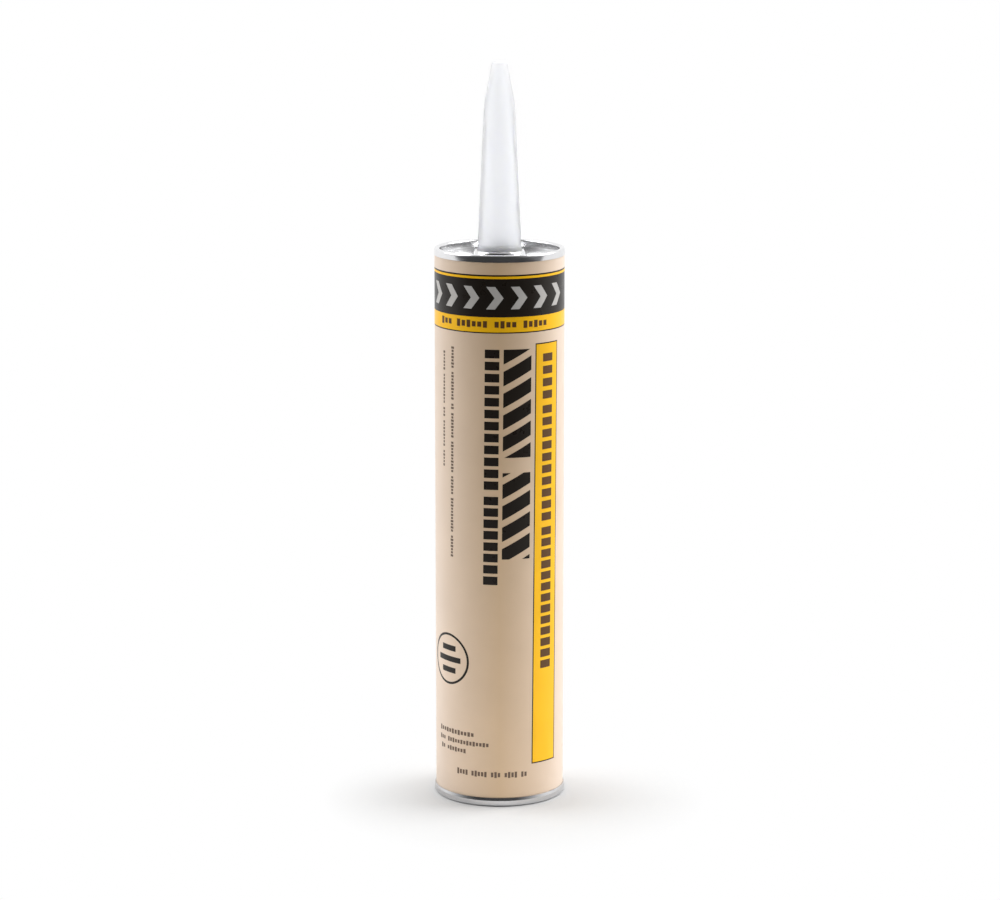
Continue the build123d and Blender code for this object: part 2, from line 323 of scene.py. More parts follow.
def rounded(corners):
    """A line of points through corners. A third number is the radius that an inner corner is bent to."""
    points = [Vector(corners[0])]
    for before, (x, y, *bend), after in zip(corners, corners[1:], corners[2:]):
        corner, radius = Vector((x, y)), sum(bend)
        into = (corner - Vector(before[:2])).normalized()
        out = (Vector(after[:2]) - corner).normalized()
        turn = -into.angle_signed(out)
        if radius < WELD or abs(turn) < WELD:
            points.append(corner)
            continue
        start = corner - into * radius * tan(abs(turn) / 2)
        spoke = Vector((into.y, -into.x)) * copysign(radius, turn)
        for step in range(BEND_STEPS + 1):
            part = turn * step / BEND_STEPS
            across = spoke.x * cos(part) - spoke.y * sin(part)
            up = spoke.x * sin(part) + spoke.y * cos(part)
            points.append(start - spoke + Vector((across, up)))
    points.append(Vector(corners[-1]))
    return points


def rectangle(width, height):
    """An upright rectangle about its middle."""
    x, y = width / 2, height / 2
    return [(-x, -y), (x, -y), (x, y), (-x, y)]


def clipped(corners, low, high):
    """A convex polygon cut off below and above."""
    for level, keep in ((low, 1), (high, -1)):
        kept = []
        for (x0, y0), (x1, y1) in zip(corners, corners[1:] + corners[:1]):
            inside, next_inside = (y0 - level) * keep >= 0, (y1 - level) * keep >= 0
            if inside:
                kept.append((x0, y0))
            if inside != next_inside:
                part = (level - y0) / (y1 - y0)
                kept.append((x0 + (x1 - x0) * part, level))
        corners = kept
    return corners


# Meshes, as lists of vertices and faces


def on_cylinder(radius, angle, height):
    """A point at a radius, an azimuth and a height."""
    return Vector((radius * sin(angle), -radius * cos(angle), height))


def skinned(rows, closed):
    """The faces between rows of points. A row goes right round, or is one point again and again."""
    faces = []
    for lower, upper in zip(rows, rows[1:] + rows[:1] * closed):
        for column in range(len(lower)):
            beside = (column + 1) % len(lower)
            corners = dict.fromkeys((lower[column], lower[beside], upper[beside], upper[column]))
            if len(corners) > 2:
                faces.append(tuple(corners))
    return faces


def spun(section, closed):
    """A section spun about the axis. An open section starts and ends on the axis."""
    vertices, rows = [], []
    for radius, height in section:
        if radius < WELD:
            rows.append([len(vertices)] * COLUMNS)
            vertices.append(Vector((0, 0, height)))
            continue
        rows.append(range(len(vertices), len(vertices) + COLUMNS))
        vertices += [on_cylinder(radius, column * COLUMN_ANGLE, height) for column in range(COLUMNS)]
    return vertices, skinned(rows, closed)


def pressed(corners, sheet):
    """Sheet metal spun about the axis, from the corners of its middle line."""
    middle = rounded(corners)
    runs = [(second - first).normalized() for first, second in zip(middle, middle[1:])]
    sides = [Vector((-run.y, run.x)) for run in runs]
    one, other = [], []
    for point, before, after in zip(middle, sides[:1] + sides, sides + sides[-1:]):
        mitre = (before + after) * sheet / 2 / (1 + before.dot(after))
        one.append(point + mitre)
        other.append(point - mitre)
    return spun(one + other[::-1], True)


def bar(turn, near, far, section):
    """A straight bar that runs out from the axis, with four (across, up) points for its section."""
    along, across = Vector((cos(turn), sin(turn), 0)), Vector((-sin(turn), cos(turn), 0))
    vertices = []
    for distance in (near, far):
        vertices += [along * distance + across * side + Vector((0, 0, height)) for side, height in section]
    ends = [(0, 1, 2, 3), (4, 5, 6, 7)]
    return vertices, ends + skinned(ends, False)


def joined(*meshes):
    """Several meshes as one."""
    vertices, faces = [], []
    for more_vertices, more_faces in meshes:
        base = len(vertices)
        vertices += more_vertices
        faces += [tuple(base + index for index in face) for face in more_faces]
    return vertices, faces


def linked(name, data):
    """A new object in the scene."""
    made = bpy.data.objects.new(name, data)
    bpy.context.scene.collection.objects.link(made)
    return made


def placed(name, mesh):
    """An object from a mesh, with doubled points welded and every face turned outwards."""
    vertices, faces = mesh
    data = bpy.data.meshes.new(name)
    data.from_pydata(vertices, [], faces)
    shell = bmesh.new()
    shell.from_mesh(data)
    bmesh.ops.remove_doubles(shell, verts=shell.verts, dist=WELD)
    bmesh.ops.dissolve_degenerate(shell, edges=shell.edges, dist=WELD)
    bmesh.ops.recalc_face_normals(shell, faces=shell.faces)
    shell.to_mesh(data)
    shell.free()
    return linked(name, data)


def united(*meshes):
    """Several closed meshes that overlap, as one skin round them all."""
    parts = [placed("part", mesh) for mesh in meshes]
    for part in parts[1:]:
        union = parts[0].modifiers.new("union", "BOOLEAN")
        union.operation = "UNION"
        union.solver = "EXACT"
        union.object = part
    skin = parts[0].evaluated_get(bpy.context.evaluated_depsgraph_get()).to_mesh()
    vertices = [vertex.co.copy() for vertex in skin.vertices]
    faces = [tuple(face.vertices) for face in skin.polygons]
    for part in parts:
        bpy.data.meshes.remove(part.data)
    return vertices, faces


def piece(name, mesh, material, nodes=(), body=CARTRIDGE):
    """A closed piece, smooth between its sharp edges, that rides on a body and may stand for nodes."""
    made = placed(name, mesh)
    data = made.data
    data.polygons.foreach_set("use_smooth", [True] * len(data.polygons))
    data.set_sharp_from_angle(angle=SHARP_ANGLE)
    data.materials.append(material)
    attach(made, body)
    if nodes:
        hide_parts(*nodes)
    return made


# The label's surface and the films of ink on it


def lap_rise(angle, paper):
    """How far the label's overlap stands out at an azimuth: a cut edge on one side, a slope on the other."""
    across = ((angle - BACK + pi) % tau - pi) * LABEL_RADIUS
    half = paper.lap_width / 2
    if abs(across) > half:
        return 0.0
    return paper.lap_paper * min((across + half) / paper.lap_slope, 1.0)


def round_columns(paper):
    """Azimuths right round the label, with the overlap's edges among them."""
    half = paper.lap_width / 2 / LABEL_RADIUS
    slope = paper.lap_slope / LABEL_RADIUS
    edges = [BACK - half, BACK - half + slope, BACK + half, BACK + half + CUT_EDGE / LABEL_RADIUS]
    return sorted([column * COLUMN_ANGLE for column in range(COLUMNS)] + edges)


def wrapped_ring(paper, wall):
    """A closed wall right round the label, from (radius, height, share of the overlap's rise) points."""
    angles = round_columns(paper)
    vertices, rows = [], []
    for radius, height, rise in wall:
        rows.append(range(len(vertices), len(vertices) + len(angles)))
        vertices += [on_cylinder(radius + rise * lap_rise(angle, paper), angle, height) for angle in angles]
    return vertices, skinned(rows, True)


def band(paper, film, layer, foot, height):
    """A film of ink right round the label, which steps over the paper's overlap."""
    inner, top = LABEL_RADIUS + layer * film, foot + height
    outer = inner + film
    return wrapped_ring(paper, [(inner, foot, 1), (outer, foot, 1), (outer, top, 1), (inner, top, 1)])


def laid(polygons, place, film, layer):
    """Flat polygons, leaned and laid on the label as a closed film. The place is an azimuth and a height."""
    angle, middle = place
    flat = bmesh.new()
    for polygon in polygons:
        flat.faces.new([flat.verts.new((across, up, 0)) for across, up in polygon])
    bmesh.ops.remove_doubles(flat, verts=flat.verts, dist=WELD)
    step = LABEL_RADIUS * COLUMN_ANGLE
    reached = [vertex.co.x / step for vertex in flat.verts]
    for cut in range(ceil(min(reached)), floor(max(reached)) + 1):
        every = flat.verts[:] + flat.edges[:] + flat.faces[:]
        bmesh.ops.bisect_plane(flat, geom=every, plane_co=(cut * step, 0, 0), plane_no=(1, 0, 0), dist=WELD)
    flat.verts.index_update()

    spots = []
    for vertex in flat.verts:
        across = vertex.co.x * cos(LEAN) + vertex.co.y * sin(LEAN)
        up = vertex.co.y * cos(LEAN) - vertex.co.x * sin(LEAN)
        spots.append((angle + asin(across / LABEL_RADIUS), middle + up))
    inner = LABEL_RADIUS + layer * film
    vertices = []
    for radius in (inner, inner + film):
        vertices += [on_cylinder(radius, turned, height) for turned, height in spots]
    count = len(spots)
    faces = []
    for face in flat.faces:
        around = [vertex.index for vertex in face.verts]
        faces.append(tuple(index + count for index in around))
        faces.append(tuple(reversed(around)))
    for edge in flat.edges:
        if edge.is_boundary:
            first, second = (vertex.index for vertex in edge.verts)
            faces.append((first, second, second + count, first + count))
    flat.free()
    return vertices, faces


def leaned(angle, from_height, to_height):
    """Where a field of a leaning row stands when it is placed at another height of that row."""
    return angle + (to_height - from_height) * tan(LEAN) / LABEL_RADIUS


def stretches(top, lengths, space):
    """The foot and length of each stretch of a row that reads down the label."""
    for run in lengths:
        yield top - run, run
        top -= run + space


def blocks(column, film, layer):
    """A column of plain blocks, as many as each stretch holds."""
    angle, width, top, lengths, space, pitch, height = column
    centre = top - sum(lengths) / 2
    fields = []
    for foot, run in stretches(top, lengths, space):
        count = 1 + floor((run - height) / pitch)
        step = (run - height) / max(count - 1, 1)
        for index in range(count):
            middle = foot + height / 2 + index * step
            place = (leaned(angle, centre, middle), middle)
            fields.append(laid([rectangle(width, height)], place, film, layer))
    return fields


def warning_stripes(film):
    """Slanting stripes, in two stretches down the front of the label."""
    centre = FIELDS_TOP - sum(WARNING_LENGTHS) / 2
    half_width = WARNING_WIDTH / 2
    low, high = (STRIPE_WIDTH + STRIPE_RISE) / 2, (STRIPE_WIDTH - STRIPE_RISE) / 2
    stripe = [(-half_width, -low), (half_width, -high), (half_width, low), (-half_width, high)]
    fields = []
    for foot, run in stretches(FIELDS_TOP, WARNING_LENGTHS, WARNING_SPACE):
        middle = foot + run / 2
        place = (leaned(WARNING_AZIMUTH, centre, middle), middle)
        count = floor(run / STRIPE_PITCH) + 2
        for index in range(count):
            shift = (index - (count - 1) / 2) * STRIPE_PITCH
            cut = clipped([(x, y + shift) for x, y in stripe], -run / 2, run / 2)
            if len(cut) > 2:
                fields.append(laid([cut], place, film, ON_PAPER))
    return fields


def badge(film):
    """A round badge of three plain bars."""
    place = (BADGE_AZIMUTH, BADGE_MIDDLE)
    inner = BADGE_RADIUS - BADGE_LINE
    turns = [tau * index / BADGE_SIDES for index in range(BADGE_SIDES + 1)]
    rim = []
    for first, second in zip(turns, turns[1:]):
        corners = ((inner, first), (BADGE_RADIUS, first), (BADGE_RADIUS, second), (inner, second))
        rim.append([(radius * cos(turn), radius * sin(turn)) for radius, turn in corners])
    fields = [laid(rim, place, film, ON_PAPER)]
    for index, run in enumerate(BADGE_BAR_LENGTHS):
        shift = (index - (len(BADGE_BAR_LENGTHS) - 1) / 2) * BADGE_BAR_PITCH
        outline = [(x, y + shift) for x, y in rectangle(run, BADGE_BAR_HEIGHT)]
        fields.append(laid([outline], place, film, ON_PAPER))
    return fields


def chevron():
    """Two slanting strokes that meet in a point."""
    half = CHEVRON_HEIGHT / 2
    back = -(CHEVRON_REACH + CHEVRON_STROKE) / 2
    lower = [(back, -half), (back + CHEVRON_STROKE, -half), (-back, 0), (back + CHEVRON_REACH, 0)]
    return [lower, [(x, -y) for x, y in reversed(lower)]]


def marks(row, film, layer, downwards=False):
    """A row of small plain marks, in groups with spaces between, along or down the label."""
    angle, level, run, height, groups = row
    pitch = run / (sum(groups) + len(groups) - 1)
    thick = pitch * MARK_FILL_SHARE
    fields, spot = [], 0
    for group, count in enumerate(groups):
        for _ in range(count):
            tall = height * MARK_HEIGHT_SHARES[(spot + group) % len(MARK_HEIGHT_SHARES)]
            along = (spot + 0.5) * pitch - run / 2
            if downwards:
                place = (leaned(angle, level, level - along), level - along)
                outline = rectangle(tall, thick)
            else:
                place = (angle + along / LABEL_RADIUS, level - along * tan(LEAN))
                outline = rectangle(thick, tall)
            fields.append(laid([outline], place, film, layer))
            spot += 1
        spot += 1
    return fields


# Materials


def scaled(rgb, factor):
    """A colour made lighter or darker."""
    return tuple(min(part * factor, 1.0) for part in rgb)


def grey(level):
    """A plain grey."""
    return (level, level, level)


class Nodes:
    """A node tree, whose nodes are added one at a time."""

    def __init__(self, tree):
        self.tree = tree

    def add(self, kind, inputs=None, **settings):
        """A node with its settings, whose inputs are fed values or other nodes' outputs."""
        node = self.tree.nodes.new(kind)
        for name, value in settings.items():
            setattr(node, name, value)
        for name, value in (inputs or {}).items():
            self.feed(node.inputs[name], value)
        return node

    def feed(self, socket, value):
        """A socket's value, or the link that brings it."""
        if isinstance(value, bpy.types.NodeSocket):
            self.tree.links.new(value, socket)
        else:
            socket.default_value = value

    def maths(self, operation, *values):
        """The result of one operation on its values."""
        return self.add("ShaderNodeMath", dict(enumerate(values)), operation=operation).outputs[0]

    def split(self, vector):
        """A vector's X, Y and Z."""
        return self.add("ShaderNodeSeparateXYZ", {"Vector": vector}).outputs

    def between(self, value, low=0.0, high=1.0, from_low=0.3, from_high=0.7, ease="LINEAR"):
        """A value mapped to lie between two others."""
        inputs = {"Value": value, "From Min": from_low, "From Max": from_high, "To Min": low, "To Max": high}
        return self.add("ShaderNodeMapRange", inputs, interpolation_type=ease).outputs["Result"]


class Finish(Nodes):
    """A material's nodes around its surface shader."""

    def __init__(self, name):
        self.material = bpy.data.materials.new(name)
        self.material.use_nodes = True
        super().__init__(self.material.node_tree)
        self.shader = self.tree.nodes["Principled BSDF"]
        self.place = self.add("ShaderNodeTexCoord").outputs["Object"]

    def shade(self, **inputs):
        """The material, once its surface shader is fed. Underscores stand for the spaces in inputs' names."""
        for name, value in inputs.items():
            self.feed(self.shader.inputs[name.replace("_", " ")], value)
        return self.material

    def noise(self, scale, detail=2.0, roughness=0.5, vector=None):
        """Smooth noise, so many to the metre."""
        inputs = {"Vector": vector or self.place, "Scale": scale, "Detail": detail, "Roughness": roughness}
        return self.add("ShaderNodeTexNoise", inputs).outputs["Fac"]

    def tinted(self, mask, first, second):
        """A colour that runs from one to another with a mask."""
        mixer = self.add("ShaderNodeMix", data_type="RGBA")
        self.feed(mixer.inputs[0], mask)
        for socket, tone in ((mixer.inputs[6], first), (mixer.inputs[7], second)):
            self.feed(socket, tone if isinstance(tone, bpy.types.NodeSocket) else (*tone, 1.0))
        return mixer.outputs[2]

    def raised(self, height, depth, under=None):
        """A surface raised by a height map, so many metres at its full height."""
        inputs = {"Height": height, "Distance": depth, "Strength": 1.0}
        if under:
            inputs["Normal"] = under
        return self.add("ShaderNodeBump", inputs).outputs["Normal"]

    def turned(self):
        """The distance from the axis and the height, so that a noise makes rings."""
        x, y, z = self.split(self.place)
        squares = [self.maths("POWER", side, 2.0) for side in (x, y)]
        distance = self.maths("SQRT", self.maths("ADD", *squares))
        return self.add("ShaderNodeCombineXYZ", {"X": distance, "Z": z}).outputs[0]


def printed_paper(name, rgb, depth, gloss, sides=None, faded_at=pi):
    """Coated paper or an ink on it: slight changes of density, paper fibres and a satin varnish.

    A ground with a colour for its sides fades into it, from the front to the azimuth given.
    """
    finish = Finish(name)
    cloudy = finish.noise(60.0, 3.0)
    grain = finish.noise(1500.0, 3.0, 0.6)
    densities = (1 - depth, 1 + depth, 1 - depth * 2)
    tones = [scaled(rgb, density) for density in densities]
    if sides:
        x, y, _ = finish.split(finish.place)
        around = finish.maths("ARCTAN2", x, finish.maths("MULTIPLY", y, -1.0))
        fade = finish.between(finish.maths("ABSOLUTE", around), 0, 1, 0.0, faded_at)
        paler = [scaled(sides, density) for density in densities]
        tones = [finish.tinted(fade, tone, side) for tone, side in zip(tones, paler)]
    ground = finish.tinted(finish.between(cloudy), tones[0], tones[1])
    ground = finish.tinted(finish.between(grain, 0, depth * 2), ground, tones[2])
    waves = finish.raised(finish.noise(90.0), 0.05 * MM)
    fibres = finish.raised(finish.noise(2600.0, 3.0, 0.6), 0.006 * MM, waves)
    return finish.shade(
        Base_Color=ground,
        Roughness=finish.between(finish.noise(240.0, 3.0), gloss - 0.04, gloss + 0.05),
        Normal=fibres,
        Specular_IOR_Level=0.25,
    )


def wound_board(name, rgb, pitch):
    """Plain grey-brown board, wound in a slant: ply joints, fibres and small dark flecks."""
    finish = Finish(name)
    x, y, z = finish.split(finish.place)
    around = finish.maths("DIVIDE", finish.maths("ARCTAN2", x, y), tau)
    winding = finish.maths("FRACT", finish.maths("ADD", around, finish.maths("DIVIDE", z, pitch)))
    off_joint = finish.maths("ABSOLUTE", finish.maths("SUBTRACT", winding, 0.5))
    joint = finish.between(off_joint, 1, 0, 0.0, 0.012)
    fibres = finish.noise(1100.0, 4.0, 0.65)
    flecks = finish.between(finish.noise(700.0), 0, 1, 0.66, 0.74)
    ground = finish.tinted(finish.between(fibres), scaled(rgb, 0.86), scaled(rgb, 1.14))
    ground = finish.tinted(flecks, ground, scaled(rgb, 0.55))
    ground = finish.tinted(finish.maths("MULTIPLY", joint, 0.6), ground, scaled(rgb, 0.5))
    plies = finish.raised(finish.maths("MULTIPLY", joint, -1.0), 0.12 * MM)
    return finish.shade(
        Base_Color=ground,
        Roughness=finish.between(finish.noise(300.0), 0.72, 0.86),
        Normal=finish.raised(fibres, 0.03 * MM, plies),
        Specular_IOR_Level=0.3,
    )


def tinned_steel(name, rgb):
    """Bright tinplate: fine rings from the rolling and spinning, with faint clouds in its shine."""
    finish = Finish(name)
    rings = finish.noise(3200.0, 2.0, 0.6, finish.turned())
    clouds = finish.noise(160.0, 3.0)
    flow = finish.raised(finish.noise(110.0), 0.04 * MM)
    return finish.shade(
        Base_Color=finish.tinted(finish.between(clouds), scaled(rgb, 0.96), scaled(rgb, 1.04)),
        Metallic=1.0,
        Roughness=finish.maths("ADD", finish.between(clouds, 0.10, 0.17), finish.between(rings, 0.0, 0.05)),
        Normal=finish.raised(rings, 0.0015 * MM, flow),
    )


def milky_plastic(name, rgb, depth, gloss, clear, ior):
    """Waxy moulded polyethylene, which lets a little light in, and through it as far as it is clear."""
    finish = Finish(name)
    clouds = finish.noise(70.0)
    flow = finish.raised(finish.noise(120.0), 0.05 * MM)
    return finish.shade(
        Base_Color=finish.tinted(finish.between(clouds), scaled(rgb, 0.985), scaled(rgb, 1.015)),
        Roughness=finish.between(finish.noise(400.0, 3.0), gloss - 0.05, gloss + 0.06),
        Normal=finish.raised(finish.noise(1900.0), 0.006 * MM, flow),
        Subsurface_Weight=1.0,
        Subsurface_Radius=(depth, depth, depth * 1.1),
        Subsurface_Scale=1.0,
        Transmission_Weight=clear,
        IOR=ior,
        Specular_IOR_Level=0.45,
    )


def foil_metal(name, rgb):
    """Rolled aluminium foil with small creases."""
    finish = Finish(name)
    creases = finish.noise(420.0, 4.0, 0.7)
    return finish.shade(
        Base_Color=finish.tinted(finish.between(creases), scaled(rgb, 0.93), scaled(rgb, 1.05)),
        Metallic=1.0,
        Roughness=finish.between(finish.noise(900.0), 0.24, 0.36),
        Normal=finish.raised(creases, 0.05 * MM),
    )


def thick_paste(name, rgb):
    """Smooth dense adhesive with fine filler in it."""
    finish = Finish(name)
    filler = finish.noise(1300.0, 3.0)
    return finish.shade(
        Base_Color=finish.tinted(finish.between(filler), scaled(rgb, 0.9), scaled(rgb, 1.08)),
        Roughness=finish.between(finish.noise(260.0), 0.3, 0.45),
        Normal=finish.raised(finish.noise(180.0, 3.0), 0.15 * MM),
        Subsurface_Weight=0.2,
        Subsurface_Radius=(0.9 * MM, 0.6 * MM, 0.4 * MM),
        Subsurface_Scale=1.0,
    )


# Operators, one for each piece or group of like pieces


class CARTRIDGE_OT_tube(bpy.types.Operator):
    """Builds the wound paperboard tube"""

    bl_idname = "cartridge.tube"
    bl_label = "Tube"

    def execute(self, context):
        paper = context.scene.cartridge_paper
        edge = 0.25 * MM
        middle = (TUBE_FOOT + TUBE_TOP) / 2
        section = rounded([
            (BORE_RADIUS, middle),
            (BORE_RADIUS, TUBE_TOP, edge),
            (TUBE_RADIUS, TUBE_TOP, edge),
            (TUBE_RADIUS, TUBE_FOOT, edge),
            (BORE_RADIUS, TUBE_FOOT, edge),
            (BORE_RADIUS, middle),
        ])
        material = wound_board("wound_board", paper.board_colour, paper.ply_pitch)
        piece("wound_tube", spun(section[:-1], True), material, ["tube_body"])
        return {"FINISHED"}


class CARTRIDGE_OT_label(bpy.types.Operator):
    """Builds the paper label, lapped at the back"""

    bl_idname = "cartridge.label"
    bl_label = "Label"

    def execute(self, context):
        paper, tin = context.scene.cartridge_paper, context.scene.cartridge_tinplate
        lap_foot, lap_top = tin.ring_height + LAP_GAP, LABEL_TOP - LAP_GAP
        rows = [
            (TUBE_RADIUS, LABEL_FOOT, 0), (LABEL_RADIUS, LABEL_FOOT, 0), (LABEL_RADIUS, lap_foot, 0),
            (LABEL_RADIUS, lap_foot, 1), (LABEL_RADIUS, lap_top, 1), (LABEL_RADIUS, lap_top, 0),
            (LABEL_RADIUS, LABEL_TOP, 0), (TUBE_RADIUS, LABEL_TOP, 0),
        ]
        material = printed_paper(
            "label_paper", paper.label_colour, depth=0.025, gloss=0.36,
            sides=paper.side_colour, faded_at=paper.side_azimuth,
        )
        piece("label_wrap", wrapped_ring(paper, rows), material, ["label"])
        return {"FINISHED"}


class CARTRIDGE_OT_print(bpy.types.Operator):
    """Lays the four inks on the label: bands, chevrons, stripes, blocks, panel and badge"""

    bl_idname = "cartridge.print"
    bl_label = "Print"

    def execute(self, context):
        paper, inks = context.scene.cartridge_paper, context.scene.cartridge_inks
        film = inks.film
        panel = (PANEL_WIDTH, PANEL_TOP - PANEL_FOOT)
        panel_place = (PANEL_AZIMUTH, (PANEL_TOP + PANEL_FOOT) / 2)
        inside = [side - 2 * PANEL_RULE for side in panel]

        black = [
            band(paper, film, ON_PAPER, PRINT_FOOT, PRINT_TOP - PRINT_FOOT),
            laid([rectangle(*panel)], panel_place, film, ON_PAPER),
            *warning_stripes(film),
            *badge(film),
            *blocks(FRONT_BLOCKS, film, ON_PAPER),
        ]
        yellow = [
            band(paper, film, ON_BLACK, BAND_TOP, GOLD_LINE),
            band(paper, film, ON_BLACK, YELLOW_FOOT, YELLOW_BAND),
            laid([rectangle(*inside)], panel_place, film, ON_BLACK),
        ]
        brown = blocks(PANEL_BLOCKS, film, ON_YELLOW)
        step = (CHEVRON_LAST - CHEVRON_FIRST) / max(CHEVRONS - 1, 1)
        middle = (BAND_TOP + BAND_FOOT) / 2
        places = [(CHEVRON_FIRST + index * step, middle) for index in range(CHEVRONS)]
        chevrons = [laid(chevron(), place, film, ON_BLACK) for place in places]

        for name, fields, rgb, gloss in (
            ("black", black, inks.black, 0.30),
            ("yellow", yellow, inks.yellow, 0.33),
            ("brown", brown, inks.brown, 0.36),
            ("grey", chevrons, inks.grey, 0.33),
        ):
            material = printed_paper(f"{name}_ink", rgb, depth=0.035, gloss=gloss)
            piece(f"{name}_fields", joined(*fields), material, [f"{name}_print"])
        return {"FINISHED"}


class CARTRIDGE_OT_small_print(bpy.types.Operator):
    """Lays the rows of small plain marks on the yellow band and on the ground of the label"""

    bl_idname = "cartridge.small_print"
    bl_label = "Small print"

    def execute(self, context):
        inks = context.scene.cartridge_inks
        line = marks(BAND_ROW, inks.film, ON_YELLOW)
        rows = []
        for table, downwards in ((ROWS_DOWN, True), (ROWS_ACROSS, False)):
            for row in table:
                rows += marks(row, inks.film, ON_PAPER, downwards)
        for name, ink, rgb, fields in (
            ("band_line", "line_ink", inks.brown, line),
            ("small_rows", "small_ink", inks.small, rows),
        ):
            material = printed_paper(ink, rgb, depth=0.035, gloss=0.36)
            piece(name, joined(*fields), material)
        return {"FINISHED"}


class CARTRIDGE_OT_front_end(bpy.types.Operator):
    """Builds the pressed tinplate end with its rolled rim, panel and boss"""

    bl_idname = "cartridge.front_end"
    bl_label = "Front end"

    def execute(self, context):
        tin, nozzle = context.scene.cartridge_tinplate, context.scene.cartridge_nozzle
        half = tin.sheet / 2
        curl = tin.curl - half
        skirt, wall = END_RADIUS - half, BORE_RADIUS - half
        rim = BODY_TOP - half
        panel = BODY_TOP - tin.panel_depth - half
        hole = nozzle.base_radius + BOSS_FIT
        boss = hole + tin.boss_land
        corners = [
            (skirt, BODY_TOP - tin.skirt_height),
            (skirt, rim, curl),
            (wall, rim, curl),
            (wall, panel - tin.countersink_depth, 0.2 * MM),
            (wall - tin.countersink_width, panel, 0.8 * MM),
            (boss + tin.boss_draft, panel, 0.5 * MM),
            (boss, panel + tin.boss_height, 0.4 * MM),
            (hole, panel + tin.boss_height),
        ]
        material = tinned_steel("tinned_steel", tin.colour)
        piece("pressed_end", pressed(corners, tin.sheet), material, ["front_end"])
        return {"FINISHED"}


class CARTRIDGE_OT_rear_ring(bpy.types.Operator):
    """Builds the tinplate ring rolled over the tube's rear edge"""

    bl_idname = "cartridge.rear_ring"
    bl_label = "Rear ring"

    def execute(self, context):
        tin = context.scene.cartridge_tinplate
        half = tin.sheet / 2
        bead, wall = RING_RADIUS - half, BORE_RADIUS - half
        corners = [
            (bead - tin.bead, tin.ring_height),
            (bead, tin.bead_height, 0.35 * MM),
            (bead, half, tin.curl - half),
            (wall, half, 0.4 * MM),
            (wall, RING_LEG_TOP),
        ]
        # The front end's tinplate, darkened: painted shade for the shadowed floor that the ring mirrors
        material = tinned_steel("ring_steel_painted_shade", scaled(tin.colour, tin.ring_painted_shade))
        piece("rolled_ring", pressed(corners, tin.sheet), material, ["rear_ring"])
        return {"FINISHED"}


class CARTRIDGE_OT_nozzle(bpy.types.Operator):
    """Builds the moulded nozzle, hollow and closed at its tip"""

    bl_idname = "cartridge.nozzle"
    bl_label = "Nozzle"

    def execute(self, context):
        nozzle, tin = context.scene.cartridge_nozzle, context.scene.cartridge_tinplate
        base, shoulder_radius = nozzle.base_radius, nozzle.shoulder_radius
        flange_top = FLANGE_FOOT + nozzle.flange_thickness
        boss_face = flange_top + tin.sheet + tin.boss_height
        shoulder = NOZZLE_TIP - nozzle.nose_length
        cap_foot = NOZZLE_TIP - nozzle.cap
        step_top = boss_face + nozzle.collar_height
        above_step = base + (shoulder_radius - base) * nozzle.collar_height / (shoulder - boss_face)
        throat = base - nozzle.wall
        collar = base + BOSS_FIT + nozzle.collar_seat
        lower_slope = (base - shoulder_radius) / (shoulder - boss_face)
        nose_slope = (shoulder_radius - nozzle.tip_radius) / nozzle.nose_length
        blend = nozzle.shoulder_blend / tan((nose_slope - lower_slope) / 2)
        step_slope = 0.1 * MM
        fine, small, soft = 0.075 * MM, 0.15 * MM, 0.3 * MM
        corners = [
            (0, NOZZLE_TIP),
            (nozzle.tip_radius, NOZZLE_TIP, nozzle.tip_round),
            (shoulder_radius, shoulder, blend),
            (above_step, step_top, soft),
            (base, step_top - step_slope, fine),
            (base + nozzle.collar_step, boss_face),
            (base, boss_face),
            (base, boss_face - tin.sheet),
            (collar, boss_face - tin.sheet, small),
            (collar, flange_top, small),
            (FLANGE_RADIUS, flange_top, small),
            (FLANGE_RADIUS, FLANGE_FOOT, small),
            (throat, FLANGE_FOOT, soft),
            (throat, boss_face, 1.0 * MM),
            (shoulder_radius - nozzle.wall, shoulder, 5.0 * MM),
            (nozzle.tip_radius - nozzle.wall, cap_foot, 0.4 * MM),
            (0, cap_foot),
        ]
        vertices, faces = spun(rounded(corners), False)
        seam = radians(2.0)
        for vertex in vertices:
            side = vertex.xy.length
            if vertex.z > boss_face + WELD and side > nozzle.tip_radius - nozzle.tip_round:
                off = abs(asin(min(abs(vertex.y) / side, 1.0)))
                if off < seam:
                    vertex.xy *= 1 + nozzle.parting_line * cos(off / seam * pi / 2) / side
        material = milky_plastic(
            "natural_polyethylene", nozzle.colour, depth=1.0 * MM, gloss=0.48, clear=0.85, ior=1.15
        )
        piece("moulded_nozzle", (vertices, faces), material, ["nozzle"])
        return {"FINISHED"}


class CARTRIDGE_OT_filling(bpy.types.Operator):
    """Finishes the foil seal and builds the adhesive"""

    bl_idname = "cartridge.filling"
    bl_label = "Foil seal and adhesive"

    def execute(self, context):
        filling = context.scene.cartridge_filling
        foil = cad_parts["foil_seal"]
        foil.data.materials.clear()
        foil.data.materials.append(foil_metal("seal_foil", filling.foil_colour))

        foot = PASTE_FOOT + filling.paste_gap
        pocket = FLANGE_RADIUS + filling.pocket_gap
        soft = 0.2 * MM
        section = rounded([
            (0, foot),
            (BORE_RADIUS, foot),
            (BORE_RADIUS, PASTE_TOP, soft),
            (pocket, PASTE_TOP, soft),
            (pocket, FOIL_FOOT, soft),
            (0, FOIL_FOOT),
        ])
        material = thick_paste("adhesive_paste", filling.paste_colour)
        paste = piece("paste_column", spun(section, False), material, ["adhesive"])
        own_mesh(paste)
        return {"FINISHED"}


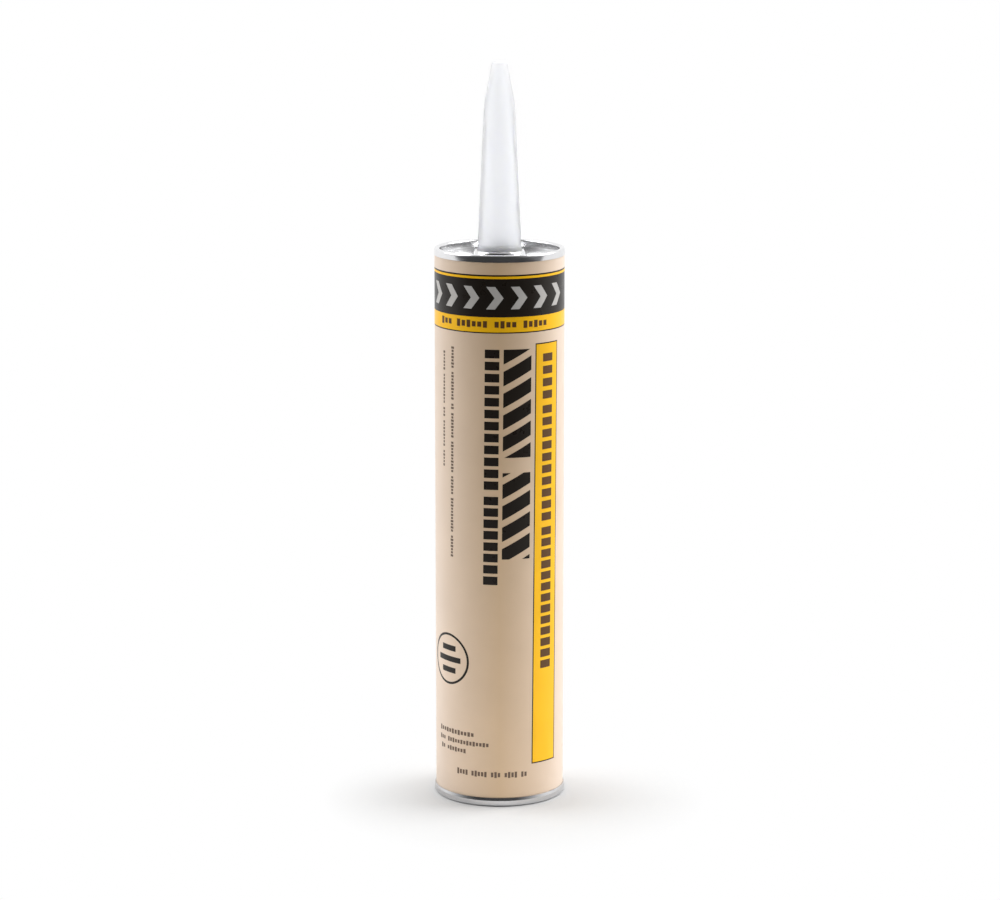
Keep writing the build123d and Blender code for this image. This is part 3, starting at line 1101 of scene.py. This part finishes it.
class CARTRIDGE_OT_plunger(bpy.types.Operator):
    """Builds the moulded plunger: a cup with two wiping lips, a hub and ribs"""

    bl_idname = "cartridge.plunger"
    bl_label = "Plunger"

    def execute(self, context):
        filling = context.scene.cartridge_filling
        wall = PLUNGER_RADIUS - filling.lip_reach
        bore = wall - filling.skirt
        web_back = PLUNGER_FACE - filling.web
        lip, taper = filling.lip_height, filling.lip_taper
        soft, sunk, draft = 0.3 * MM, 0.2 * MM, 0.15 * MM
        cup = rounded([
            (0, PLUNGER_FACE),
            (PLUNGER_RADIUS, PLUNGER_FACE, soft),
            (PLUNGER_RADIUS, PLUNGER_FACE - lip, soft),
            (wall, PLUNGER_FACE - lip - taper, soft),
            (wall, PLUNGER_REAR + lip + taper, soft),
            (PLUNGER_RADIUS, PLUNGER_REAR + lip, soft),
            (PLUNGER_RADIUS, PLUNGER_REAR, soft),
            (bore, PLUNGER_REAR, soft),
            (bore, web_back, 0.6 * MM),
            (0, web_back),
        ])
        hub_radius, half = filling.hub_radius, filling.rib_thickness / 2
        hub_bore = hub_radius - filling.rib_thickness
        root, rib_foot = web_back + sunk, web_back - filling.rib_height
        hub = rounded([
            (hub_bore, root),
            (hub_bore, rib_foot, soft),
            (hub_radius, rib_foot, soft),
            (hub_radius, root),
            (hub_bore, root),
        ])
        near, far = hub_radius - half, bore + filling.skirt / 2
        rib = [(-half, root), (-half + draft, rib_foot), (half - draft, rib_foot), (half, root)]
        ribs = [bar(tau * index / RIBS, near, far, rib) for index in range(RIBS)]
        mesh = united(spun(cup, False), spun(hub[:-1], True), joined(*ribs))
        material = milky_plastic(
            "plunger_polyethylene", filling.plunger_colour, depth=1.6 * MM, gloss=0.42, clear=0.0, ior=1.5
        )
        piece("moulded_plunger", mesh, material, ["plunger"], PLUNGER)
        return {"FINISHED"}


class CARTRIDGE_OT_stage(bpy.types.Operator):
    """Sets the floor, the lamps, the light of the room and the camera"""

    bl_idname = "cartridge.stage"
    bl_label = "Stage"

    def execute(self, context):
        scene, studio = context.scene, context.scene.cartridge_studio
        scene.view_settings.view_transform = "Standard"

        data = bpy.data.meshes.new("floor")
        data.from_pydata([(x, y, 0) for x, y in rectangle(FLOOR_SIDE, FLOOR_SIDE)], [], [(0, 1, 2, 3)])
        data.materials.append(floor_paint(studio.floor_seen))
        ground = linked("floor", data)

        lamp("left_lamp", -LAMP_AZIMUTH, studio.left_power)
        lamp("right_lamp", LAMP_AZIMUTH, studio.right_power)
        room(scene, studio)

        camera = linked("camera", bpy.data.cameras.new("camera"))
        camera.location = CAMERA_PLACE
        camera.rotation_euler = (CAMERA_TILT, 0, 0)
        camera.data.sensor_width = CAMERA_SENSOR
        camera.data.lens = CAMERA_LENS
        scene.camera = camera
        return {"FINISHED"}


def lamp(name, angle, watts):
    """A soft square lamp that faces the cartridge's middle, placed by its azimuth."""
    data = bpy.data.lights.new(name, "AREA")
    data.size = LAMP_SIZE
    data.energy = watts
    made = linked(name, data)
    made.visible_camera = False
    middle = Vector((0, 0, (RING_FOOT + BODY_TOP) / 2))
    offset = on_cylinder(LAMP_DISTANCE * cos(LAMP_RISE), angle, LAMP_DISTANCE * sin(LAMP_RISE))
    made.location = middle + offset
    made.rotation_euler = (-offset).to_track_quat("-Z", "Y").to_euler()


def floor_paint(seen):
    """A white sweep that keeps the cartridge's shadow and runs out into white, with painted shade: near-black
    towards the camera, where the metal mirrors it and it bounces light, and darker behind, where it only
    bounces light.
    """
    finish = Finish("floor_paint")
    _, y, _ = finish.split(finish.place)
    path = finish.add("ShaderNodeLightPath").outputs
    sweep = finish.between(y, 0.0, 1.0, *FLOOR_FRONT)
    behind = finish.between(y, 0.0, 1.0, *FLOOR_REAR)
    # Painted shade: the floor near-black towards the camera and darker behind, seen only in reflections and
    # in the light it bounces
    paint = finish.tinted(sweep, grey(FRONT_PAINTED_SHADE), grey(MIDDLE_PAINT))
    paint = finish.tinted(behind, paint, grey(REAR_PAINTED_SHADE))
    mirrored = finish.maths("MULTIPLY", path["Is Glossy Ray"], sweep)
    reflected = finish.maths("MAXIMUM", mirrored, path["Is Transmission Ray"])
    looked_at = finish.maths("MAXIMUM", path["Is Camera Ray"], reflected)
    paint = finish.tinted(looked_at, paint, grey(seen))
    finish.shade(Base_Color=paint, Roughness=0.9, Specular_IOR_Level=0.0)

    spots = {0: finish.place, 1: SHADOW_MIDDLE}
    distance = finish.add("ShaderNodeVectorMath", spots, operation="DISTANCE").outputs["Value"]
    near = finish.maths("MULTIPLY", finish.between(distance, 0.0, 1.0, *NEAR_GLOW), path["Is Camera Ray"])
    far = finish.maths("MULTIPLY", finish.between(distance, 0.0, 1.0, *FAR_GLOW), reflected)
    glow = finish.add("ShaderNodeEmission", {"Color": (*grey(1.0), 1.0), "Strength": 1.0})
    layers = {0: finish.maths("MAXIMUM", near, far), 1: finish.shader.outputs[0], 2: glow.outputs[0]}
    mixer = finish.add("ShaderNodeMixShader", layers)
    finish.feed(finish.tree.nodes["Material Output"].inputs["Surface"], mixer.outputs[0])
    return finish.material


def room(scene, studio):
    """The light of the room: plain white to the camera, white behind and beside, dim behind the camera."""
    world = bpy.data.worlds.new("room")
    world.use_nodes = True
    scene.world = world
    nodes = Nodes(world.node_tree)
    path = nodes.add("ShaderNodeLightPath").outputs
    way = nodes.add("ShaderNodeTexCoord").outputs["Generated"]
    depth = nodes.add("ShaderNodeVectorMath", {0: way, 1: ROOM_WAY}, operation="DOT_PRODUCT").outputs["Value"]
    wall = nodes.between(depth, studio.room_front, studio.room_back, *WALL_GROWTH, ease="SMOOTHSTEP")
    ceiling = nodes.between(nodes.split(way)["Z"], 0.0, studio.room_top, *CEILING_GROWTH, ease="SMOOTHSTEP")
    spread = nodes.maths("MULTIPLY_ADD", wall, studio.room_fill, ceiling)

    strength = wall
    for ray, light in (("Is Diffuse Ray", spread), ("Is Transmission Ray", 1.0), ("Is Camera Ray", 1.0)):
        strength = nodes.add("ShaderNodeMix", {0: path[ray], 2: strength, 3: light}).outputs[0]
    background = nodes.tree.nodes["Background"]
    nodes.feed(background.inputs["Strength"], strength)
    nodes.feed(background.inputs["Color"], (*grey(1.0), 1.0))


class CARTRIDGE_PT_sidebar(bpy.types.Panel):
    """Lists the pieces to build and their sizes and colours"""

    bl_idname = "CARTRIDGE_PT_sidebar"
    bl_label = "Adhesive Cartridge"
    bl_space_type = "VIEW_3D"
    bl_region_type = "UI"
    bl_category = "Cartridge"

    def draw(self, context):
        layout = self.layout
        for operator in OPERATORS:
            layout.operator(operator.bl_idname)
        for name, group in GROUPS.items():
            box = layout.box()
            box.label(text=group.__doc__)
            for field in group.__annotations__:
                box.prop(getattr(context.scene, name), field)


GROUPS = {
    "cartridge_paper": CartridgePaper,
    "cartridge_inks": CartridgeInks,
    "cartridge_tinplate": CartridgeTinplate,
    "cartridge_nozzle": CartridgeNozzle,
    "cartridge_filling": CartridgeFilling,
    "cartridge_studio": CartridgeStudio,
}

OPERATORS = (
    CARTRIDGE_OT_stage,
    CARTRIDGE_OT_tube,
    CARTRIDGE_OT_label,
    CARTRIDGE_OT_print,
    CARTRIDGE_OT_small_print,
    CARTRIDGE_OT_front_end,
    CARTRIDGE_OT_rear_ring,
    CARTRIDGE_OT_nozzle,
    CARTRIDGE_OT_filling,
    CARTRIDGE_OT_plunger,
)


def register():
    """Adds the operators, the panel and the groups of sizes and colours."""
    for made in (*GROUPS.values(), *OPERATORS, CARTRIDGE_PT_sidebar):
        bpy.utils.register_class(made)
    for name, group in GROUPS.items():
        setattr(bpy.types.Scene, name, PointerProperty(type=group))


def unregister():
    """Takes away all that register adds."""
    for name in GROUPS:
        delattr(bpy.types.Scene, name)
    for made in reversed((*GROUPS.values(), *OPERATORS, CARTRIDGE_PT_sidebar)):
        bpy.utils.unregister_class(made)


def main():
    """Registers the add-on and builds every piece."""
    register()
    for operator in OPERATORS:
        getattr(bpy.ops.cartridge, operator.bl_idname.split(".")[1])()


if __name__ == "__main__":
    main()
